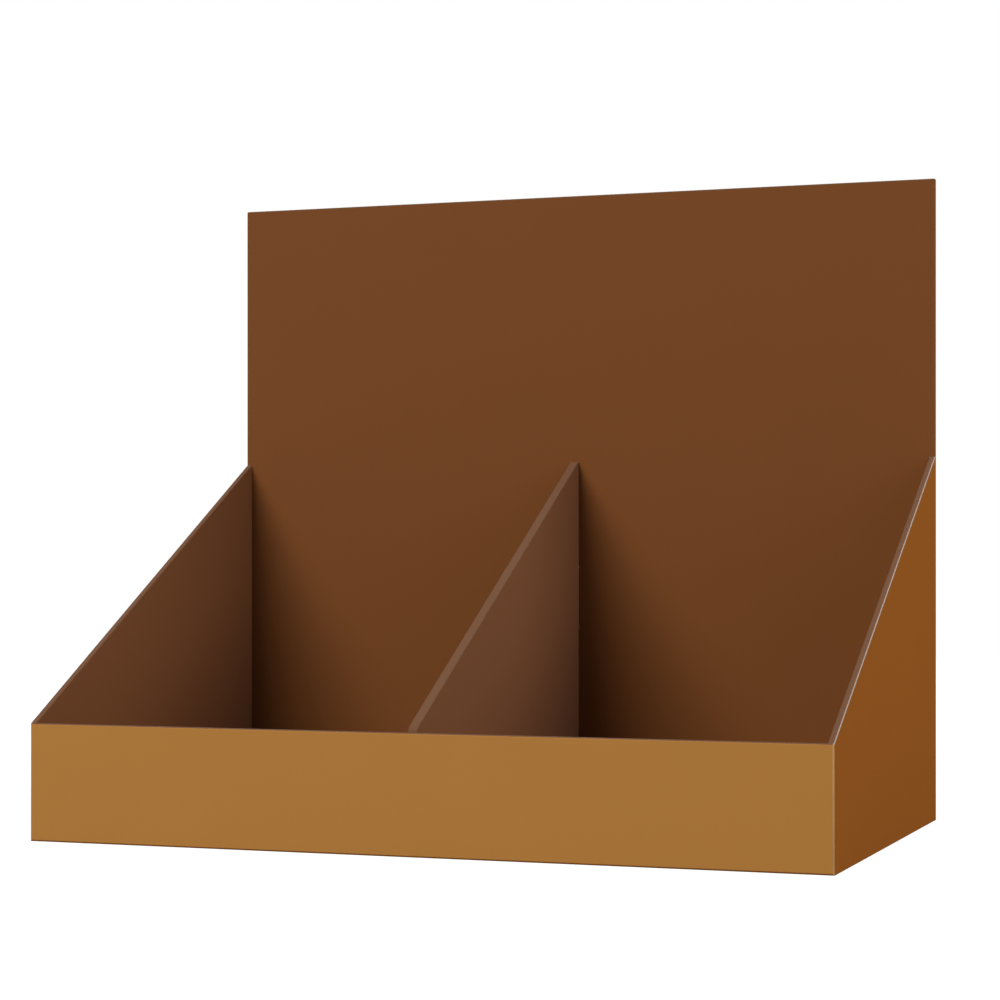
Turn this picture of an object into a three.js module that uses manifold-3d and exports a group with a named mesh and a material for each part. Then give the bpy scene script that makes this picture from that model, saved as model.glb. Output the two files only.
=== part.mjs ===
// Countertop dispenser box: a low-fronted tray with sloping sides and a tall header, folded and
// glued from one die-cut blank, and a divider board that locks into it and makes two compartments.
// Millimetres, +Z up, the front faces -Y. The origin is the centre of the footprint on the table.

import * as THREE from "three";
import { mergeVertices } from "three/addons/utils/BufferGeometryUtils.js";
import Module from "manifold-3d";

const wasm = await Module();
wasm.setup();

// Outside sizes of the folded tray.
const WIDTH = 300;
const DEPTH = 187.5;
const FRONT_HEIGHT = 43.3;
const SIDE_HEIGHT = 144; // where the side walls meet the back panel
const TOTAL_HEIGHT = 254.2; // top of the header

// Board of the tray.
const BOARD = 2.3;
const FOLD_RADIUS = 0.8; // outside of every fold
const GLUE_GAP = 0.3; // between two layers that are glued or that touch

// Glue flaps.
const FLOOR_FLAP = 26; // the floor's three flaps, from the table to their free edge
const FLOOR_FLAP_RELIEF = 3; // between the ends of two flaps that share a corner of the floor
const JOINT_FLAP = 25; // the back panel's flap, along the right side wall
const JOINT_FLAP_DROP = 4; // from a flap's edge to the wall's sloping edge, or to the flap under it
const FLAP_TAPER = THREE.MathUtils.degToRad(20);
const FLAP_CORNER = 4; // radius at a flap's free corners

// Divider and the slots that hold it.
const DIVIDER_BOARD = 3.6;
const DIVIDER_NOSE = 3; // radius where the sloping edge comes down to the front panel
const TAB_LENGTH = 28; // two tabs in the floor
const TAB_SETBACK = 30; // from the divider's ends
const REAR_TAB_LENGTH = 26; // one tab in the back panel
const REAR_TAB_START = 74; // its lower end above the table
const TAB_INSET = 0.4; // from a tab's end to the outside of the board that it passes through
const TAB_CORNER = 1;
const SLOT_CLEARANCE = 0.3;
const NOTCH_CLEARANCE = 2; // beside the divider, where the floor's rear flap is parted

// Making of the solids.
const ARC_STEPS = 6;
const OVERSHOOT = 1; // how far a cutter passes the face that it cuts
const OVERLAP = BOARD / 2; // how deep one panel runs into the next one of the same blank

const FRONT_Y = -DEPTH / 2;
const BACK_Y = DEPTH / 2;
const FRONT_INSIDE = FRONT_Y + BOARD;
const BACK_INSIDE = BACK_Y - BOARD;
const SIDE_X = WIDTH / 2;
const LINING_X = SIDE_X - BOARD - GLUE_GAP; // outside of what lies against a side wall
const LINING_Y = BACK_INSIDE - GLUE_GAP; // outside of what lies against the back panel

const COLOURS = { ochre: 0xa77538, brown: 0x5f3f2a };

// Height of the side walls' sloping edge, which the divider follows.
function slopeAt(y) {
  const rise = (SIDE_HEIGHT - FRONT_HEIGHT) / (BACK_INSIDE - FRONT_Y);
  return FRONT_HEIGHT + (y - FRONT_Y) * rise;
}

// A closed outline through corners [across, up, radius], with a tangent arc where there is a radius.
function outline(corners) {
  const points = corners.flatMap(([across, up, radius = 0], i) => {
    const corner = new THREE.Vector2(across, up);
    if (radius === 0) return [corner];
    const [beforeAcross, beforeUp] = corners.at(i - 1);
    const [afterAcross, afterUp] = corners[(i + 1) % corners.length];
    const toBefore = new THREE.Vector2(beforeAcross, beforeUp).sub(corner).normalize();
    const toAfter = new THREE.Vector2(afterAcross, afterUp).sub(corner).normalize();
    const halfAngle = Math.acos(toBefore.dot(toAfter)) / 2;
    const reach = radius / Math.tan(halfAngle);
    const centre = toBefore.clone().add(toAfter).normalize();
    centre.multiplyScalar(radius / Math.sin(halfAngle)).add(corner);
    const start = corner.clone().addScaledVector(toBefore, reach).sub(centre).angle();
    const end = corner.clone().addScaledVector(toAfter, reach).sub(centre).angle();
    const clockwise = toBefore.cross(toAfter) > 0;
    const arc = new THREE.ArcCurve(centre.x, centre.y, radius, start, end, clockwise);
    return arc.getPoints(ARC_STEPS);
  });
  return new THREE.Shape(points);
}

// The same corners on the other side of the middle, in the order that closes the outline.
function mirrored(corners) {
  return corners.map(([across, ...rest]) => [-across, ...rest]).reverse();
}

function rectangle(left, right, bottom, top) {
  return [
    [left, bottom],
    [right, bottom],
    [right, top],
    [left, top],
  ];
}

function extruded(corners, thickness) {
  const settings = { depth: thickness, bevelEnabled: false };
  return new THREE.ExtrudeGeometry(outline(corners), settings);
}

// A closed geometry as a solid that can be joined and cut.
function solidOf(geometry) {
  geometry.deleteAttribute("normal");
  geometry.deleteAttribute("uv");
  const merged = mergeVertices(geometry, 1e-4);
  const vertProperties = merged.attributes.position.array;
  const triVerts = new Uint32Array(merged.index.array);
  return new wasm.Manifold(new wasm.Mesh({ numProp: 3, vertProperties, triVerts }));
}

function geometryOf(solid) {
  const { vertProperties, triVerts } = solid.getMesh();
  const geometry = new THREE.BufferGeometry();
  geometry.setAttribute("position", new THREE.BufferAttribute(vertProperties, 3));
  geometry.setIndex(new THREE.BufferAttribute(triVerts, 1));
  geometry.computeVertexNormals();
  return geometry;
}

// A board seen from above: corners in X and Y, from z = 0 up.
function fromAbove(corners, height) {
  return solidOf(extruded(corners, height));
}

// A board seen from the front: corners in X and Z, from its rear face at y forwards.
function fromFront(corners, thickness, y) {
  return solidOf(extruded(corners, thickness).rotateX(Math.PI / 2).translate(0, y, 0));
}

// A board seen from the right: corners in Y and Z, from its left face at x to the right.
function fromSide(corners, thickness, x) {
  const axes = new THREE.Matrix4().makeBasis(
    new THREE.Vector3(0, 1, 0),
    new THREE.Vector3(0, 0, 1),
    new THREE.Vector3(1, 0, 0),
  );
  return solidOf(extruded(corners, thickness).applyMatrix4(axes).translate(x, 0, 0));
}

// Front panel and both side walls, bent round three upright folds. The right wall ends in a cut
// edge at the back, and the left one turns into the back panel.
function wrapAround() {
  const band = fromAbove(
    [
      [SIDE_X, BACK_Y],
      [SIDE_X, FRONT_Y, FOLD_RADIUS],
      [-SIDE_X, FRONT_Y, FOLD_RADIUS],
      [-SIDE_X, BACK_Y, FOLD_RADIUS],
      [-SIDE_X + BOARD, BACK_Y],
      [-SIDE_X + BOARD, FRONT_INSIDE],
      [SIDE_X - BOARD, FRONT_INSIDE],
      [SIDE_X - BOARD, BACK_Y],
    ],
    SIDE_HEIGHT + BOARD,
  );
  const sideView = fromSide(
    [
      [FRONT_Y, 0, FOLD_RADIUS],
      [BACK_Y, 0],
      [BACK_Y, SIDE_HEIGHT + BOARD],
      [BACK_INSIDE, SIDE_HEIGHT + BOARD],
      [BACK_INSIDE, SIDE_HEIGHT],
      [FRONT_Y, FRONT_HEIGHT],
    ],
    WIDTH,
    -SIDE_X,
  );
  const aboveFront = fromFront(
    rectangle(-SIDE_X + BOARD, SIDE_X - BOARD, FRONT_HEIGHT, SIDE_HEIGHT),
    BOARD + OVERSHOOT,
    FRONT_INSIDE,
  );
  return band.intersect(sideView).subtract(aboveFront);
}

// Back panel and header. Beside the walls it is narrower on the right, where it folds forwards.
// Above them it has the full width, and its shoulder clears the right wall's cut top.
function backAndHeader() {
  const jointX = LINING_X - OVERLAP;
  return fromFront(
    [
      [-SIDE_X + OVERLAP, 0],
      [jointX, 0],
      [jointX, SIDE_HEIGHT + GLUE_GAP],
      [SIDE_X, SIDE_HEIGHT + GLUE_GAP],
      [SIDE_X, TOTAL_HEIGHT],
      [-SIDE_X, TOTAL_HEIGHT],
      [-SIDE_X, SIDE_HEIGHT],
      [-SIDE_X + OVERLAP, SIDE_HEIGHT],
    ],
    BOARD,
    BACK_Y,
  );
}

// The fold at the back panel's right end and its glue flap inside the right wall. The flap's upper
// edge runs along the wall's slope, and its lower edge clears the floor's flap.
function jointFlap() {
  const top = SIDE_HEIGHT + BOARD;
  const freeEnd = BACK_INSIDE - JOINT_FLAP;
  const lowEnd = FLOOR_FLAP + JOINT_FLAP_DROP;
  const lowTaper = JOINT_FLAP * Math.tan(FLAP_TAPER);
  const bend = fromAbove(
    [
      [LINING_X - 2 * BOARD, BACK_INSIDE],
      [LINING_X - BOARD, BACK_INSIDE],
      [LINING_X - BOARD, freeEnd],
      [LINING_X, freeEnd],
      [LINING_X, BACK_Y, FOLD_RADIUS],
      [LINING_X - 2 * BOARD, BACK_Y],
    ],
    top,
  );
  const sideView = fromSide(
    [
      [BACK_Y, 0],
      [BACK_Y, top],
      [BACK_INSIDE, top],
      [BACK_INSIDE, SIDE_HEIGHT - JOINT_FLAP_DROP],
      [freeEnd, slopeAt(freeEnd) - JOINT_FLAP_DROP, FLAP_CORNER],
      [freeEnd, lowEnd + lowTaper, FLAP_CORNER],
      [BACK_INSIDE, lowEnd],
      [BACK_INSIDE, 0],
    ],
    SIDE_X,
    0,
  );
  return bend.intersect(sideView);
}

// Floor, folded from the front panel's foot, with a glue flap up each side wall.
function floorAndSideFlaps() {
  const frontY = FRONT_Y + OVERLAP;
  const rearY = LINING_Y - OVERLAP;
  const taper = (FLOOR_FLAP - BOARD) * Math.tan(FLAP_TAPER);
  const flapFront = FRONT_INSIDE + FLOOR_FLAP_RELIEF;
  const flapRear = LINING_Y - BOARD - FLOOR_FLAP_RELIEF;
  const rightHalf = [
    [LINING_X, 0, FOLD_RADIUS],
    [LINING_X, FLOOR_FLAP],
    [LINING_X - BOARD, FLOOR_FLAP],
    [LINING_X - BOARD, BOARD],
  ];
  const frontView = fromFront([...rightHalf, ...mirrored(rightHalf)], rearY - frontY, rearY);
  const sideView = fromSide(
    [
      [frontY, 0],
      [rearY, 0],
      [rearY, BOARD],
      [flapRear, BOARD],
      [flapRear - taper, FLOOR_FLAP, FLAP_CORNER],
      [flapFront + taper, FLOOR_FLAP, FLAP_CORNER],
      [flapFront, BOARD],
      [frontY, BOARD],
    ],
    2 * LINING_X,
    -LINING_X,
  );
  return frontView.intersect(sideView);
}

// The floor's rear fold and its glue flap up the back panel, parted where the divider stands.
function rearFlap() {
  const frontY = LINING_Y - 2 * BOARD;
  const bend = fromSide(
    [
      [frontY, 0],
      [LINING_Y, 0, FOLD_RADIUS],
      [LINING_Y, FLOOR_FLAP],
      [LINING_Y - BOARD, FLOOR_FLAP],
      [LINING_Y - BOARD, BOARD],
      [frontY, BOARD],
    ],
    2 * LINING_X,
    -LINING_X,
  );
  const floorX = LINING_X - OVERLAP;
  const flapX = LINING_X - BOARD - FLOOR_FLAP_RELIEF;
  const taper = (FLOOR_FLAP - BOARD) * Math.tan(FLAP_TAPER);
  const notchX = DIVIDER_BOARD / 2 + NOTCH_CLEARANCE;
  const rightHalf = [
    [floorX, 0],
    [floorX, BOARD],
    [flapX, BOARD],
    [flapX - taper, FLOOR_FLAP, FLAP_CORNER],
    [notchX, FLOOR_FLAP, FLAP_CORNER],
    [notchX, BOARD],
  ];
  const frontView = fromFront([...rightHalf, ...mirrored(rightHalf)], DEPTH, BACK_Y);
  return bend.intersect(frontView);
}

// Both ends of each floor tab along Y, front tab first.
function floorTabs() {
  const front = FRONT_INSIDE + GLUE_GAP + TAB_SETBACK;
  const rear = LINING_Y - TAB_SETBACK;
  return [
    [front, front + TAB_LENGTH],
    [rear - TAB_LENGTH, rear],
  ];
}

function dividerSlots() {
  const halfWidth = DIVIDER_BOARD / 2 + SLOT_CLEARANCE;
  const height = BOARD + 2 * OVERSHOOT;
  const inFloor = floorTabs().map(([start, end]) =>
    fromAbove(
      rectangle(-halfWidth, halfWidth, start - SLOT_CLEARANCE, end + SLOT_CLEARANCE),
      height,
    ).translate([0, 0, -OVERSHOOT]),
  );
  const low = REAR_TAB_START - SLOT_CLEARANCE;
  const high = REAR_TAB_START + REAR_TAB_LENGTH + SLOT_CLEARANCE;
  const inBack = fromFront(rectangle(-halfWidth, halfWidth, low, high), height, BACK_Y + OVERSHOOT);
  return [...inFloor, inBack];
}

// What keeps the right wall's flat top apart from the header's shoulder over it.
function shoulderGap() {
  const gap = rectangle(LINING_X, SIDE_X + OVERSHOOT, SIDE_HEIGHT, SIDE_HEIGHT + GLUE_GAP);
  return fromFront(gap, BOARD + 2 * OVERSHOOT, BACK_Y + OVERSHOOT);
}

function trayGeometry() {
  const panels = [backAndHeader(), jointFlap(), floorAndSideFlaps(), rearFlap()];
  const folded = panels.reduce((joined, panel) => joined.add(panel), wrapAround());
  const cuts = [...dividerSlots(), shoulderGap()];
  return geometryOf(cuts.reduce((left, cut) => left.subtract(cut), folded));
}

// Side view of the divider, its corners in Y and Z: tabs below, one tab behind, sloping on top.
function dividerCorners() {
  const frontY = FRONT_INSIDE + GLUE_GAP;
  const footZ = BOARD + GLUE_GAP;
  const rearTabY = BACK_Y - TAB_INSET;
  const rearTabEnd = REAR_TAB_START + REAR_TAB_LENGTH;
  const belowFoot = floorTabs().flatMap(([start, end]) => [
    [start, footZ],
    [start, TAB_INSET, TAB_CORNER],
    [end, TAB_INSET, TAB_CORNER],
    [end, footZ],
  ]);
  return [
    [frontY, footZ],
    ...belowFoot,
    [LINING_Y, footZ],
    [LINING_Y, REAR_TAB_START],
    [rearTabY, REAR_TAB_START, TAB_CORNER],
    [rearTabY, rearTabEnd, TAB_CORNER],
    [LINING_Y, rearTabEnd],
    [LINING_Y, slopeAt(LINING_Y)],
    [frontY, slopeAt(frontY), DIVIDER_NOSE],
  ];
}

function dividerGeometry() {
  return geometryOf(fromSide(dividerCorners(), DIVIDER_BOARD, -DIVIDER_BOARD / 2));
}

function board(name, geometry, color) {
  const material = new THREE.MeshStandardMaterial({ color, roughness: 0.75, metalness: 0 });
  const mesh = new THREE.Mesh(geometry, material);
  mesh.name = name;
  return mesh;
}

const dispenserBox = new THREE.Group();
dispenserBox.add(board("tray", trayGeometry(), COLOURS.ochre));
dispenserBox.add(board("divider", dividerGeometry(), COLOURS.brown));

export default dispenserBox;
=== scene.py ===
"""Countertop dispenser box: its printed board, cut edges and folds, on a pale studio floor.

Lengths are in metres in the frame of the box: +X to the right, +Y to the back, +Z up, with the
origin in the middle of the footprint.
"""

import math

import bmesh
import bpy
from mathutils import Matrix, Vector


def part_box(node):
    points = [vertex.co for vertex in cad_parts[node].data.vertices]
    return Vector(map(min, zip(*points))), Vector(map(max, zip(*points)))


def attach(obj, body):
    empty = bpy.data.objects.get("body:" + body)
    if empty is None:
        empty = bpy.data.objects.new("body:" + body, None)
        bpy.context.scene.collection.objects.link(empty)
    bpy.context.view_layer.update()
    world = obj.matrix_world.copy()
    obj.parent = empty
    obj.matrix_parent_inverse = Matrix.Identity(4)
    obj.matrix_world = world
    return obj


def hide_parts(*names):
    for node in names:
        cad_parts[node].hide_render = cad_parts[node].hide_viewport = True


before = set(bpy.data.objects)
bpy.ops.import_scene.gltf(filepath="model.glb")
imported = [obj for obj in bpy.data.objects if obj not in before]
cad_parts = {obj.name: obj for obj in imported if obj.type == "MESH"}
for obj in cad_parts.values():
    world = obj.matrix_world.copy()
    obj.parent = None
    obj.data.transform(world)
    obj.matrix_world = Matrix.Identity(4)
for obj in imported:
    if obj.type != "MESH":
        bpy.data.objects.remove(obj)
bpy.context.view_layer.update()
bpy.ops.object.select_all(action="DESELECT")

MM = 0.001
WELD = 1e-7  # corners nearer than this are one
CLOSE = 0.02 * MM  # two places nearer than this are the same
CLEAR = 1 * MM  # two places further apart than this are on different parts of the board

# The tray as the frame gives it.
TRAY_LOW, TRAY_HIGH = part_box("tray")
SIDE_X = TRAY_HIGH[0]
FRONT_Y = TRAY_LOW[1]
BACK_Y = TRAY_HIGH[1]

# Its board, the glue seams between its layers, and the heights of its walls.
BOARD = 2.3 * MM
SEAM = 0.3 * MM
FOLD_RADIUS = 0.8 * MM
FRONT_TOP = 43.3 * MM
SIDE_TOP = 144 * MM
FRONT_INSIDE = FRONT_Y + BOARD
BACK_INSIDE = BACK_Y - BOARD
INNER_X = SIDE_X - BOARD
LINING_X = INNER_X - SEAM
LINING_Y = BACK_INSIDE - SEAM

# The divider's slots, its tab in the back panel, and the rounded front end of its slope.
SLOT_WIDTH = 4.2 * MM
REAR_TAB_LOW = 74 * MM
REAR_TAB_HIGH = 100 * MM
NOSE = 3.5 * MM  # how far below the line of the slope the rounded end reaches

# The glue flap inside the right wall.
FLAP_MIDDLE = 105 * MM
FLAP_SINK = 8 * MM  # brings the flap's top down, out of sight behind the wall

# How the cutting die leaves an edge: rounded this far on both sides of it.
ARRIS = 0.5 * MM
ARRIS_STEPS = 3

# Angles between faces: one flat face, one rounding, and an edge that the die has cut.
FLAT = math.radians(1)
ROUNDED = math.radians(50)
CUT = math.radians(40)

# Where the photograph was taken from.
CAMERA_PLACE = (0.33189, -0.92461, 0.10665)
CAMERA_YAW = 0.3448
CAMERA_SENSOR = 36
CAMERA_LENS = 92.55
CAMERA_REACH = (0.01, 200)
HORIZON_PIXEL = 551.0
FRAME_PIXELS = 1000


def linear(hex_colour):
    """An sRGB hex colour as linear RGBA."""
    channels = [int(hex_colour[i : i + 2], 16) / 255 for i in (1, 3, 5)]
    curve = [c / 12.92 if c <= 0.04045 else ((c + 0.055) / 1.055) ** 2.4 for c in channels]
    return (*curve, 1.0)


def empty_tree(owner):
    """The node tree of a new material or world, with nothing in it."""
    owner.use_nodes = True
    owner.node_tree.nodes.clear()
    return owner.node_tree


def add_node(tree, kind, settings=None, inputs=None):
    """One shader node with its settings, values and incoming links."""
    node = tree.nodes.new(kind)
    for name, value in (settings or {}).items():
        setattr(node, name, value)
    for name, value in (inputs or {}).items():
        if isinstance(value, bpy.types.NodeSocket):
            tree.links.new(value, node.inputs[name])
        else:
            node.inputs[name].default_value = value
    return node


CLOUD = 35 * MM  # size of the clouds in which board takes up ink


def board_material(name, colour, fibre_mm, mottle, relief_mm, roughness, specular, sheen):
    """Printed or bare board: fibres a fraction of a millimetre apart in broader cloudy mottle.

    mottle is how far the colour wanders and relief_mm how high the fibres stand. specular is low
    because board has no film on it, and sheen is the light that its loose fibres catch.
    """
    material = bpy.data.materials.new(name)
    tree = empty_tree(material)
    place = add_node(tree, "ShaderNodeTexCoord").outputs["Object"]
    fibres = add_node(
        tree,
        "ShaderNodeTexNoise",
        inputs={"Vector": place, "Scale": 1 / (fibre_mm * MM), "Detail": 3.0, "Roughness": 0.6},
    )
    clouds = add_node(
        tree,
        "ShaderNodeTexNoise",
        inputs={"Vector": place, "Scale": 1 / CLOUD, "Detail": 2.0, "Roughness": 0.5},
    )
    wander = add_node(
        tree,
        "ShaderNodeMix",
        {"data_type": "FLOAT"},
        {"Factor": 0.5, "A": fibres.outputs["Fac"], "B": clouds.outputs["Fac"]},
    )
    darker = [c * (1 - mottle) for c in linear(colour)[:3]] + [1.0]
    lighter = [c * (1 + mottle) for c in linear(colour)[:3]] + [1.0]
    tint = add_node(
        tree,
        "ShaderNodeMix",
        {"data_type": "RGBA"},
        {"Factor": wander.outputs[0], 6: darker, 7: lighter},
    )
    relief = add_node(
        tree,
        "ShaderNodeBump",
        inputs={"Strength": 0.5, "Distance": relief_mm * MM, "Height": fibres.outputs["Fac"]},
    )
    surface = add_node(
        tree,
        "ShaderNodeBsdfPrincipled",
        inputs={
            "Base Color": tint.outputs[2],
            "Roughness": roughness,
            "Specular IOR Level": specular,
            "Sheen Weight": sheen,
            "Normal": relief.outputs["Normal"],
        },
    )
    add_node(tree, "ShaderNodeOutputMaterial", inputs={"Surface": surface.outputs["BSDF"]})
    return material


# Real fibres are hundredths of a millimetre thick, too fine to show, so they are drawn about ten
# times as coarse. A face is pressed smooth, and an edge is rough where the die went through.
FACE = {"fibre_mm": 0.5, "mottle": 0.03, "relief_mm": 0.01}
EDGE = {"fibre_mm": 0.3, "mottle": 0.08, "relief_mm": 0.03, "roughness": 0.8, "specular": 0.06}
FOLD = {"fibre_mm": 0.4, "mottle": 0.08, "relief_mm": 0.02}

# Every finish of the box, by the name that the faces are sorted with.
FINISHES = {
    # Solid board printed ochre, without varnish: an even, dull, warm face.
    "front print": board_material(
        "ochre_print_on_board", "#A57338", **FACE, roughness=0.65, specular=0.03, sheen=0
    ),
    # The same ochre print on the walls and the back, painted a deeper brown as shade, with no
    # shine at a slant.
    "side print with painted shade": board_material(
        "ochre_print_painted_darker_as_side_shade", "#8F5421", **FACE, roughness=0.65, specular=0, sheen=0
    ),
    # Print stretched over a scored fold: a pale, uneven upright line at a corner, partly worn
    # print and partly a painted highlight.
    "worn fold with painted highlight": board_material(
        "ochre_print_worn_and_painted_highlight_at_fold", "#B58A58", **FOLD, roughness=0.7, specular=0.04, sheen=0
    ),
    # The board's brown inner face: dull, with fibres that lighten it at a slant.
    "inside": board_material(
        "brown_board_inside", "#6E411E", **FACE, roughness=0.75, specular=0.05, sheen=0.14
    ),
    # Board cut by a die: rough and a little uneven, and greyer than the face, the grey partly a
    # painted sheen.
    "cut edge": board_material("cut_edge_of_brown_board_greyed_as_painted_sheen", "#684731", **EDGE, sheen=0.05),
    # A thin light line along the slopes' outer edge: a painted highlight, drawn as the pale paper
    # under the print cut through.
    "liner edge with painted highlight": board_material("pale_liner_line_as_painted_highlight", "#A6998F", **EDGE, sheen=0),
}

# How much of one direction a face's normal has.
SQUARE_ON = 0.99  # this much or more where a flat face looks that way
DEAD_ON = 0.999  # less than this where a rounding has begun
NEARLY_ON = 0.9  # more than this on the part of a rounding that is next to the front
TURNED_OUT = 0.4  # more than this on the outer part of a rounding
UPRIGHT = 0.1  # less than this much of up or down on an upright face
TURNED_UP = 0.05  # more than this much of up on a rounding over an upright face


def near(value, *places):
    """Whether a value is the same as one of the places."""
    return any(abs(value - place) < CLOSE for place in places)


def tray_finish(centre, normal):
    """The finish of a face of the tray, told from where it is and which way it faces."""
    x, y, z = abs(centre.x), centre.y, centre.z
    outward = normal.x * math.copysign(1, centre.x)
    raw_end = centre.x > LINING_X and y > LINING_Y and z < SIDE_TOP  # of the right wall

    # The outer faces.
    # The outer print of the walls, the back and the foot is the front's ochre painted darker as
    # shade.
    if near(x, SIDE_X) and z < SIDE_TOP:
        return "side print with painted shade"
    if near(y, FRONT_Y) and normal.y < -SQUARE_ON:
        return "front print"
    if near(y, BACK_Y) and not raw_end:
        return "side print with painted shade"
    if normal.z < -UPRIGHT and z < FOLD_RADIUS:
        return "side print with painted shade"

    # The header's upright ends, then the inner faces of the walls, the flaps and the floor.
    # The header's upright cut ends take the darker inside finish instead of the cut edge's:
    # painted shade.
    if x > SIDE_X - ARRIS and z > SIDE_TOP:
        return "inside"
    if near(x, INNER_X, LINING_X - BOARD) and outward < -SQUARE_ON:
        return "inside"
    if near(y, BACK_INSIDE, LINING_Y - BOARD) and normal.y < -SQUARE_ON:
        return "inside"
    if near(y, FRONT_INSIDE) and normal.y > SQUARE_ON:
        return "inside"
    if near(z, BOARD) and normal.z > SQUARE_ON:
        return "inside"

    # The roundings, and the cut edges that are left.
    at_corner = x > LINING_X - FOLD_RADIUS and abs(y) > BACK_Y - FOLD_RADIUS and z < SIDE_TOP
    # The upright corner folds: worn print with a painted highlight.
    if at_corner and not raw_end and abs(normal.z) < UPRIGHT and abs(normal.x) < DEAD_ON:
        return "worn fold with painted highlight"
    # The outer rounding along the slopes: a painted highlight line.
    if z < SIDE_TOP and x > SIDE_X - ARRIS and outward > TURNED_OUT and normal.z > TURNED_UP:
        return "liner edge with painted highlight"
    if y < FRONT_Y + ARRIS and normal.y < -NEARLY_ON and normal.z > TURNED_UP:
        return "front print"
    # What is left is cut edge, its grey tone partly a painted sheen.
    return "cut edge"


def divider_finish(centre, normal):
    """The divider is brown board all through: its two faces, and its cut edges round them."""
    return "inside" if abs(normal.x) > SQUARE_ON else "cut edge"


def tray_edge_shows(middle):
    """Whether a cut edge of the tray is clear of its slots, its foot and the header's shoulder."""
    foot = middle.z < CLEAR
    shoulder = abs(middle.z - SIDE_TOP) < 2 * CLOSE
    step = near(abs(middle.x), INNER_X) and middle.y < FRONT_INSIDE - CLOSE
    in_back = middle.y > BACK_INSIDE - CLOSE and middle.z < SIDE_TOP
    slot = abs(middle.x) < SLOT_WIDTH and (middle.z < BOARD + CLOSE or in_back)
    return not (foot or shoulder or step or slot)


def divider_edge_shows(middle):
    """Whether a cut edge of the divider is on its slope, and not in a slot or on the floor."""
    rise = (SIDE_TOP - FRONT_TOP) / (BACK_INSIDE - FRONT_Y)
    return middle.z > FRONT_TOP + (middle.y - FRONT_Y) * rise - NOSE


def whole_board(node, name):
    """The CAD node's form as one mesh, its triangles joined into flat faces."""
    board = bpy.data.objects.new(name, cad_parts[node].data.copy())
    bpy.context.scene.collection.objects.link(board)
    board.data.materials.clear()
    bpy.context.view_layer.objects.active = board
    board.select_set(True)
    bpy.ops.mesh.customdata_custom_splitnormals_clear()
    bpy.ops.object.mode_set(mode="EDIT")
    bpy.ops.mesh.select_all(action="SELECT")
    bpy.ops.mesh.remove_doubles(threshold=WELD)
    bpy.ops.mesh.dissolve_limited(angle_limit=FLAT)
    bpy.ops.object.mode_set(mode="OBJECT")
    return board


def lift(is_moved, height):
    """Moves the points that is_moved picks up by height."""
    bpy.ops.object.mode_set(mode="EDIT")
    bpy.ops.mesh.select_mode(type="VERT")
    bpy.ops.mesh.select_all(action="DESELECT")
    mesh = bmesh.from_edit_mesh(bpy.context.object.data)
    for point in mesh.verts:
        point.select_set(is_moved(point.co))
    bmesh.update_edit_mesh(bpy.context.object.data)
    bpy.ops.transform.translate(value=(0, 0, height))
    bpy.ops.object.mode_set(mode="OBJECT")


def top_of_flap(point):
    """Whether a point is on the sloping top of the glue flap inside the right wall."""
    inside_wall = LINING_X - BOARD - CLOSE < point.x < LINING_X + CLOSE
    return inside_wall and FLAP_MIDDLE < point.z < SIDE_TOP - CLEAR


def seat_tray():
    """Closes the slack round the rear tab and under the header's shoulder, and sinks the flap."""
    slack = SEAM - CLOSE
    lift(lambda point: near(point.z, SIDE_TOP + SEAM), -slack)
    lift(lambda point: near(point.z, REAR_TAB_LOW - SEAM), slack)
    lift(lambda point: near(point.z, REAR_TAB_HIGH + SEAM), -slack)
    lift(top_of_flap, -FLAP_SINK)


def soften_edges(board, edge_shows):
    """Rounds every cut edge that shows, and leaves folds and inner corners alone."""
    bpy.ops.object.mode_set(mode="EDIT")
    bpy.ops.mesh.select_mode(type="EDGE")
    bpy.ops.mesh.select_all(action="DESELECT")
    mesh = bmesh.from_edit_mesh(board.data)
    for edge in mesh.edges:
        middle = (edge.verts[0].co + edge.verts[1].co) / 2
        sharp = edge.is_manifold and edge.is_convex and edge.calc_face_angle() > CUT
        edge.select_set(sharp and edge_shows(middle))
    bmesh.update_edit_mesh(board.data)
    bpy.ops.mesh.bevel(offset=ARRIS, segments=ARRIS_STEPS, affect="EDGES", clamp_overlap=False)
    bpy.ops.object.mode_set(mode="OBJECT")


def finish_faces(board, finish_of):
    """Gives each face the finish that its place and direction call for."""
    used = []
    for face in board.data.polygons:
        finish = finish_of(face.center, face.normal)
        if finish not in used:
            used.append(finish)
            board.data.materials.append(FINISHES[finish])
        face.material_index = used.index(finish)


def smooth_edges(board):
    """Smooth shading over the rounded edges, with the flat faces kept flat."""
    bpy.ops.object.shade_smooth_by_angle(angle=ROUNDED)
    modifier = board.modifiers.new("flat faces stay flat", "WEIGHTED_NORMAL")
    modifier.keep_sharp = True
    bpy.ops.object.modifier_apply(modifier=modifier.name)


def make_board(node, edge_shows, finish_of):
    """The visible piece that takes a CAD node's place."""
    board = whole_board(node, node + "_board")
    if node == "tray":
        seat_tray()
    soften_edges(board, edge_shows)
    finish_faces(board, finish_of)
    smooth_edges(board)
    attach(board, "root")
    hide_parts(node)
    board.select_set(False)


make_board("tray", tray_edge_shows, tray_finish)
make_board("divider", divider_edge_shows, divider_finish)


# The studio.
FLOOR_RADIUS = 1.6
FLOOR_SIDES = 96
FLOOR_DROP = 0.05 * MM  # below the box's foot
FLOOR_WHITE = 0.85  # how bright the floor looks in the deepest shadow
FLOOR_SHADE = 0.3  # how much of the lamps' light is seen on top of that
FLOOR_BOUNCE = "#888888"  # what the floor throws back onto the box
WORLD_LIGHT = 0.015
WHITE = (1, 1, 1, 1)
LAMP_TARGET = Vector((0, 0, 80 * MM))


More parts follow.
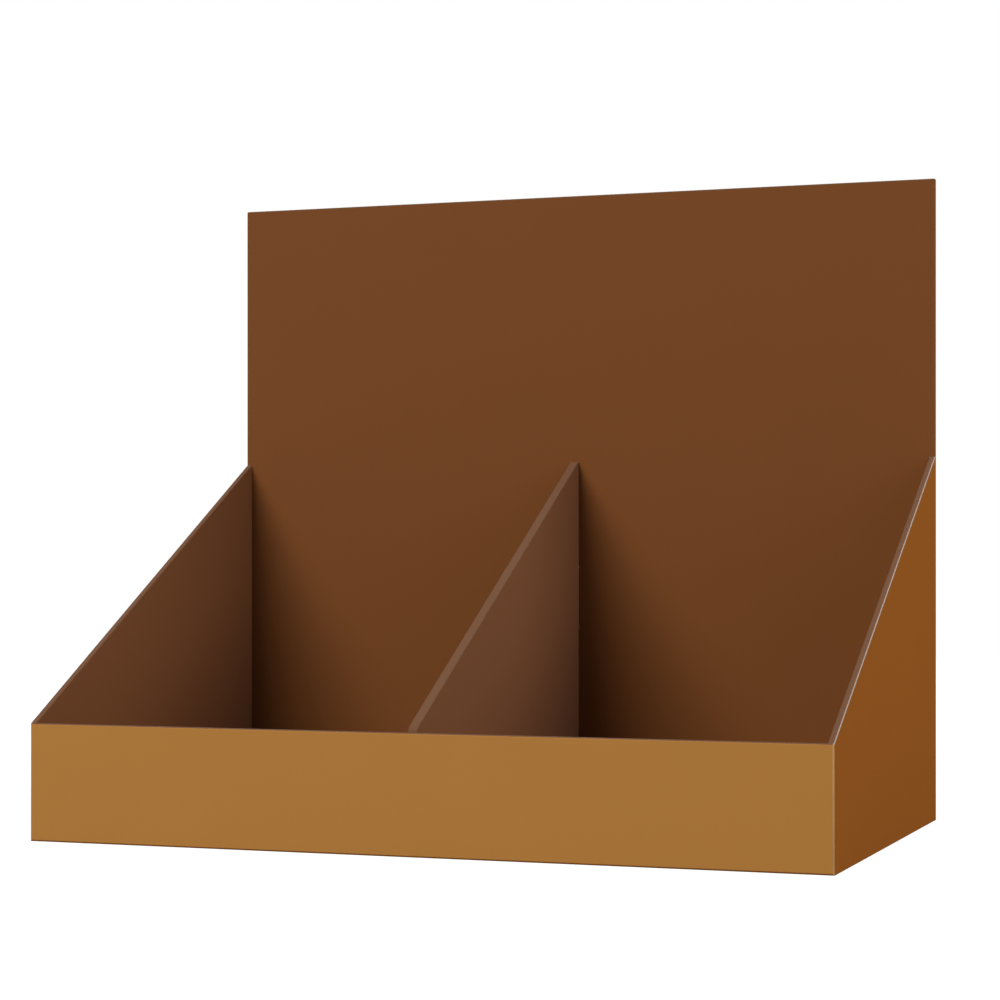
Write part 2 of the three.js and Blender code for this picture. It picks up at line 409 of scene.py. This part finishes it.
def add_white_rays(tree):
    """1 for a ray that meets the studio's white: the camera's, a mirrored or a let-through one."""
    path = add_node(tree, "ShaderNodeLightPath")
    mirrored = add_node(
        tree,
        "ShaderNodeMath",
        {"operation": "MAXIMUM"},
        {0: path.outputs["Is Camera Ray"], 1: path.outputs["Is Glossy Ray"]},
    )
    let_through = add_node(
        tree,
        "ShaderNodeMath",
        {"operation": "MAXIMUM"},
        {0: mirrored.outputs[0], 1: path.outputs["Is Transmission Ray"]},
    )
    return let_through.outputs[0]


def make_floor():
    """A pale round floor, seen as white but for the box's faint shadow."""
    bpy.ops.mesh.primitive_circle_add(
        vertices=FLOOR_SIDES, radius=FLOOR_RADIUS, fill_type="NGON", location=(0, 0, -FLOOR_DROP)
    )
    floor = bpy.context.object
    floor.name = "studio_floor"
    material = bpy.data.materials.new("pale_studio_floor")
    tree = empty_tree(material)
    white_rays = add_white_rays(tree)
    bounce = add_node(tree, "ShaderNodeBsdfDiffuse", inputs={"Color": linear(FLOOR_BOUNCE)})
    grey = (FLOOR_SHADE, FLOOR_SHADE, FLOOR_SHADE, 1)
    shade = add_node(tree, "ShaderNodeBsdfDiffuse", inputs={"Color": grey})
    white = add_node(
        tree, "ShaderNodeEmission", inputs={"Color": WHITE, "Strength": FLOOR_WHITE}
    )
    seen = add_node(
        tree, "ShaderNodeAddShader", inputs={0: white.outputs[0], 1: shade.outputs[0]}
    )
    mixed = add_node(
        tree,
        "ShaderNodeMixShader",
        inputs={0: white_rays, 1: bounce.outputs[0], 2: seen.outputs[0]},
    )
    add_node(tree, "ShaderNodeOutputMaterial", inputs={"Surface": mixed.outputs[0]})
    floor.data.materials.append(material)
    floor.select_set(False)


def make_world():
    """Dim even light on the box, and white all round where it is seen."""
    world = bpy.data.worlds.new("studio")
    bpy.context.scene.world = world
    tree = empty_tree(world)
    strength = add_node(
        tree,
        "ShaderNodeMix",
        {"data_type": "FLOAT"},
        {"Factor": add_white_rays(tree), "A": WORLD_LIGHT, "B": 1.0},
    )
    background = add_node(
        tree, "ShaderNodeBackground", inputs={"Color": WHITE, "Strength": strength.outputs[0]}
    )
    add_node(tree, "ShaderNodeOutputWorld", inputs={"Surface": background.outputs[0]})


def add_softbox(name, place, width, height, level):
    """A lamp that shows a sheet, held square to it at the box, at level times its own colour."""
    lamp = bpy.data.lights.new(name, "AREA")
    lamp.shape = "RECTANGLE"
    lamp.size = width
    lamp.size_y = height
    aim = LAMP_TARGET - Vector(place)
    lamp.energy = level * math.pi**2 * aim.length_squared
    softbox = bpy.data.objects.new(name, lamp)
    bpy.context.scene.collection.objects.link(softbox)
    softbox.location = place
    softbox.rotation_euler = aim.to_track_quat("-Z", "Y").to_euler()


def make_camera():
    """The photograph's camera: level, with upright lines kept parallel by a vertical shift."""
    data = bpy.data.cameras.new("photograph")
    data.sensor_width = CAMERA_SENSOR
    data.lens = CAMERA_LENS
    data.shift_y = (HORIZON_PIXEL - FRAME_PIXELS / 2) / FRAME_PIXELS
    data.clip_start, data.clip_end = CAMERA_REACH
    camera = bpy.data.objects.new("photograph", data)
    bpy.context.scene.collection.objects.link(camera)
    camera.location = CAMERA_PLACE
    camera.rotation_euler = (math.pi / 2, 0, CAMERA_YAW)
    bpy.context.scene.camera = camera


make_floor()
make_world()
add_softbox("key_front_left", (-1.08, -2.55, 1.68), 1.9, 1.4, 1.09)
add_softbox("side_right", (1.8, 0.07, 1.25), 1.6, 1.5, 0.98)
add_softbox("fill_behind", (-1.9, 2.5, 1.1), 2.0, 1.5, 0.4)
make_camera()
bpy.context.scene.view_settings.view_transform = "Standard"
